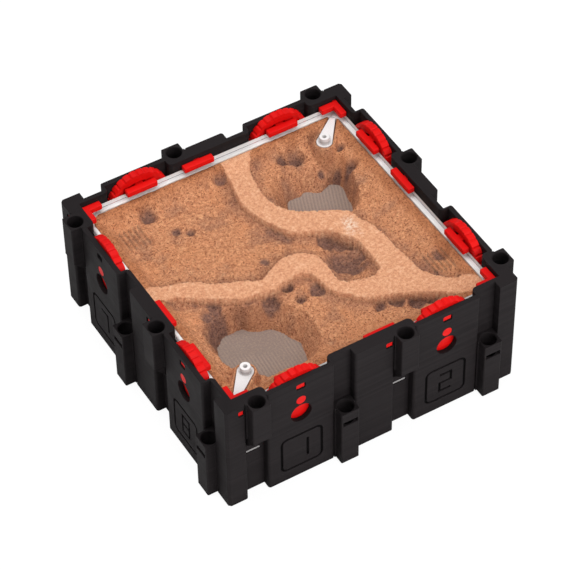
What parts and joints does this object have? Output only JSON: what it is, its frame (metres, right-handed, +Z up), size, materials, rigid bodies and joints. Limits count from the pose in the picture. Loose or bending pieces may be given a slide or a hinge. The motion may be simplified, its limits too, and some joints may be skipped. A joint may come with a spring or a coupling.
{
  "type": "modular ant habitat",
  "caption": "square ant habitat module with a clear lid over a white sand-filled nest tray, black interlocking walls, turning gate wheels and push-in lid clips",
  "frame": {"origin": "centre of the underside of the square body", "axes": "+Z up out of the lid; -Y is the front wall with gates 1 and 2, +X the right wall with gates 3 and 4"},
  "size_m": [0.2128, 0.2128, 0.0868],
  "materials": {
    "housing": "matte, fine print layers",
    "tray": "matte",
    "seal": "matte",
    "clear": "polished acrylic",
    "sand": "rough sand and clay",
    "pad": "rough, porous",
    "sponge": "open foam",
    "inlet": "matte",
    "gate": "matte",
    "clip": "matte"
  },
  "bodies": {
    "housing": {"wall_front": "housing", "wall_right": "housing", "wall_back": "housing", "wall_left": "housing", "lugs_front": "housing", "posts_front": "housing", "lugs_right": "housing", "posts_right": "housing", "lugs_back": "housing", "posts_back": "housing", "lugs_left": "housing", "posts_left": "housing", "base_plate": "housing", "tray_floor": "tray", "tray_wall_front": "tray", "tray_wall_right": "tray", "tray_wall_back": "tray", "tray_wall_left": "tray", "lid_seal": "seal", "lid": "clear", "substrate_bed": "sand", "substrate_core": "sand", "substrate_rim": "sand", "hydration_pad_front": "pad", "sponge_front": "sponge", "inlet_front": "inlet", "hydration_pad_back": "pad", "sponge_back": "sponge", "inlet_back": "inlet", "gate_axle_1": "gate", "gate_axle_2": "gate", "gate_axle_3": "gate", "gate_axle_4": "gate", "gate_axle_5": "gate", "gate_axle_6": "gate", "gate_axle_7": "gate", "gate_axle_8": "gate"},
    "wheel_1": {"gate_wheel_1": "gate"},
    "wheel_2": {"gate_wheel_2": "gate"},
    "wheel_3": {"gate_wheel_3": "gate"},
    "wheel_4": {"gate_wheel_4": "gate"},
    "wheel_5": {"gate_wheel_5": "gate"},
    "wheel_6": {"gate_wheel_6": "gate"},
    "wheel_7": {"gate_wheel_7": "gate"},
    "wheel_8": {"gate_wheel_8": "gate"},
    "gate_clip_1_body": {"gate_clip_1": "clip"},
    "gate_clip_2_body": {"gate_clip_2": "clip"},
    "gate_clip_3_body": {"gate_clip_3": "clip"},
    "gate_clip_4_body": {"gate_clip_4": "clip"},
    "gate_clip_5_body": {"gate_clip_5": "clip"},
    "gate_clip_6_body": {"gate_clip_6": "clip"},
    "gate_clip_8_body": {"gate_clip_8": "clip"},
    "edge_clip_front_body": {"edge_clip_front": "clip"},
    "corner_clip_front_body": {"corner_clip_front": "clip"},
    "edge_clip_right_body": {"edge_clip_right": "clip"},
    "corner_clip_right_body": {"corner_clip_right": "clip"},
    "edge_clip_back_body": {"edge_clip_back": "clip"},
    "corner_clip_back_body": {"corner_clip_back": "clip"},
    "edge_clip_left_body": {"edge_clip_left": "clip"},
    "corner_clip_left_body": {"corner_clip_left": "clip"}
  },
  "joints": [
    {"name": "gate_1_turn", "type": "hinge", "parent": "housing", "child": "wheel_1", "pos_m": [-0.05015, -0.094, 0.0661], "axis": [0, -1, 0], "range_deg": [0, 90]},
    {"name": "gate_2_turn", "type": "hinge", "parent": "housing", "child": "wheel_2", "pos_m": [0.05015, -0.094, 0.0661], "axis": [0, -1, 0], "range_deg": [0, 90]},
    {"name": "gate_3_turn", "type": "hinge", "parent": "housing", "child": "wheel_3", "pos_m": [0.094, -0.05015, 0.0661], "axis": [1, 0, 0], "range_deg": [0, 90]},
    {"name": "gate_4_turn", "type": "hinge", "parent": "housing", "child": "wheel_4", "pos_m": [0.094, 0.05015, 0.0661], "axis": [1, 0, 0], "range_deg": [0, 90]},
    {"name": "gate_5_turn", "type": "hinge", "parent": "housing", "child": "wheel_5", "pos_m": [0.05015, 0.094, 0.0661], "axis": [0, 1, 0], "range_deg": [0, 90]},
    {"name": "gate_6_turn", "type": "hinge", "parent": "housing", "child": "wheel_6", "pos_m": [-0.05015, 0.094, 0.0661], "axis": [0, 1, 0], "range_deg": [0, 90]},
    {"name": "gate_7_turn", "type": "hinge", "parent": "housing", "child": "wheel_7", "pos_m": [-0.094, 0.05015, 0.0661], "axis": [-1, 0, 0], "range_deg": [0, 90]},
    {"name": "gate_8_turn", "type": "hinge", "parent": "housing", "child": "wheel_8", "pos_m": [-0.094, -0.05015, 0.0661], "axis": [-1, 0, 0], "range_deg": [0, 90]},
    {"name": "gate_clip_1_slide", "type": "slide", "parent": "housing", "child": "gate_clip_1_body", "axis": [0, 1, 0], "range_m": [0, 0.009]},
    {"name": "gate_clip_2_slide", "type": "slide", "parent": "housing", "child": "gate_clip_2_body", "axis": [0, 1, 0], "range_m": [0, 0.009]},
    {"name": "gate_clip_3_slide", "type": "slide", "parent": "housing", "child": "gate_clip_3_body", "axis": [-1, 0, 0], "range_m": [0, 0.009]},
    {"name": "gate_clip_4_slide", "type": "slide", "parent": "housing", "child": "gate_clip_4_body", "axis": [-1, 0, 0], "range_m": [0, 0.009]},
    {"name": "gate_clip_5_slide", "type": "slide", "parent": "housing", "child": "gate_clip_5_body", "axis": [0, -1, 0], "range_m": [0, 0.009]},
    {"name": "gate_clip_6_slide", "type": "slide", "parent": "housing", "child": "gate_clip_6_body", "axis": [0, -1, 0], "range_m": [0, 0.009]},
    {"name": "gate_clip_8_slide", "type": "slide", "parent": "housing", "child": "gate_clip_8_body", "axis": [1, 0, 0], "range_m": [0, 0.009]},
    {"name": "edge_clip_front_slide", "type": "slide", "parent": "housing", "child": "edge_clip_front_body", "axis": [0, 1, 0], "range_m": [0, 0.009]},
    {"name": "corner_clip_front_slide", "type": "slide", "parent": "housing", "child": "corner_clip_front_body", "axis": [0, 1, 0], "range_m": [0, 0.009]},
    {"name": "edge_clip_right_slide", "type": "slide", "parent": "housing", "child": "edge_clip_right_body", "axis": [-1, 0, 0], "range_m": [0, 0.009]},
    {"name": "corner_clip_right_slide", "type": "slide", "parent": "housing", "child": "corner_clip_right_body", "axis": [-1, 0, 0], "range_m": [0, 0.009]},
    {"name": "edge_clip_back_slide", "type": "slide", "parent": "housing", "child": "edge_clip_back_body", "axis": [0, -1, 0], "range_m": [0, 0.009]},
    {"name": "corner_clip_back_slide", "type": "slide", "parent": "housing", "child": "corner_clip_back_body", "axis": [0, -1, 0], "range_m": [0, 0.009]},
    {"name": "edge_clip_left_slide", "type": "slide", "parent": "housing", "child": "edge_clip_left_body", "axis": [1, 0, 0], "range_m": [0, 0.009]},
    {"name": "corner_clip_left_slide", "type": "slide", "parent": "housing", "child": "corner_clip_left_body", "axis": [1, 0, 0], "range_m": [0, 0.009]}
  ]
}
